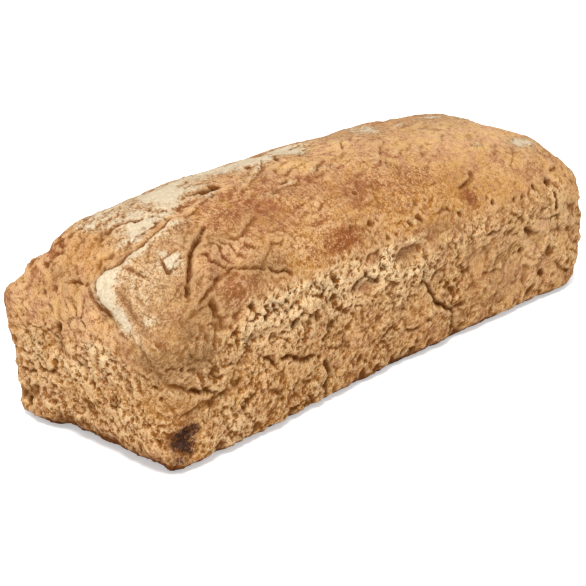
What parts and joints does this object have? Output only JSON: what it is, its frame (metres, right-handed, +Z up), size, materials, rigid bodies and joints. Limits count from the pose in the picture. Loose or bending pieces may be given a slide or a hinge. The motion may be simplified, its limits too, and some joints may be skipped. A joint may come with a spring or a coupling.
{
  "type": "buckwheat bread loaf",
  "caption": "Long tin-baked buckwheat loaf with a domed, floured and split crust, on a flat underside.",
  "frame": {"origin": "centre of the bounding box in plan, at the flat underside", "axes": "+Z up, X along the loaf, -Y the front long wall"},
  "size_m": [0.2916, 0.1034, 0.0967],
  "materials": {
    "crust": "matt, rough baked crust with flour dust"
  },
  "bodies": {
    "root": {"loaf": "crust"}
  },
  "joints": []
}
